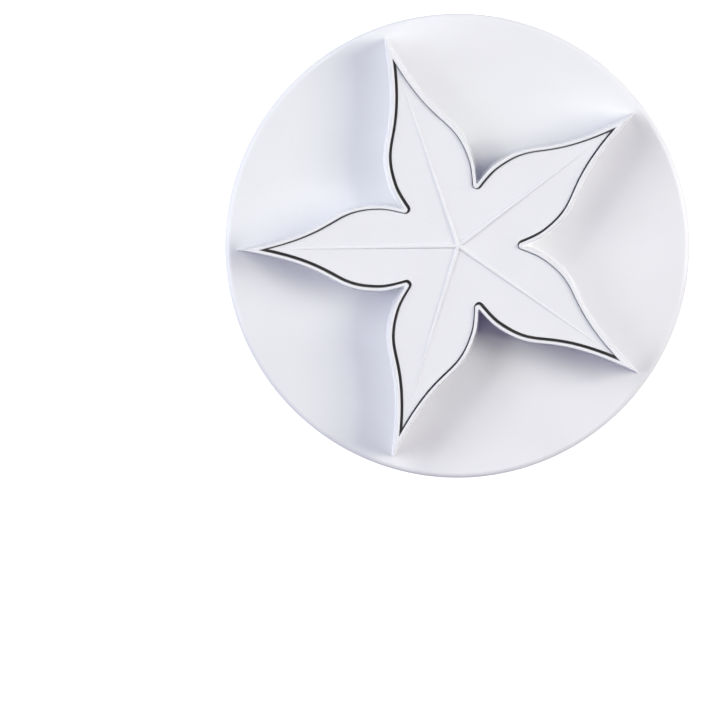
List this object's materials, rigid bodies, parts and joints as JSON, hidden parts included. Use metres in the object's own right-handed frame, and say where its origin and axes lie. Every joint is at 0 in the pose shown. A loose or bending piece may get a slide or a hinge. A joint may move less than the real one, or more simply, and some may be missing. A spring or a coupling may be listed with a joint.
{
  "type": "plunger cookie cutter",
  "caption": "Round plunger cutter: a petalled star cutting wall on a flange, a sprung veined star plate inside it, a hollow finger barrel behind and a flared thumb knob.",
  "frame": {"origin": "centre of the knob's end ring, which the cutter stands on, on the plunger's axis", "axes": "+Z along the plunger's axis from the thumb knob to the cutting edge; +X through the valley between two petals; +Y completes the right hand"},
  "size_m": [0.077, 0.077, 0.0388],
  "materials": {
    "white_plastic": "smooth cool white moulded plastic, satin sheen",
    "white_plastic_plate": "the same white plastic with a slightly softer sheen",
    "white_plastic_knob": "the same white plastic, a little glossier",
    "spring_steel": "drawn bright steel wire"
  },
  "bodies": {
    "cutter": {"cutter_body": "white_plastic", "return_spring": "spring_steel"},
    "plunger": {"embosser": "white_plastic_plate", "thumb_knob": "white_plastic_knob"}
  },
  "joints": [
    {"name": "plunger_slide", "type": "slide", "parent": "cutter", "child": "plunger", "axis": [0, 0, 1], "range_m": [0, 0.0026], "stiffness_N_per_m": 440, "springref_m": -0.0057, "deforming": ["return_spring"]}
  ]
}
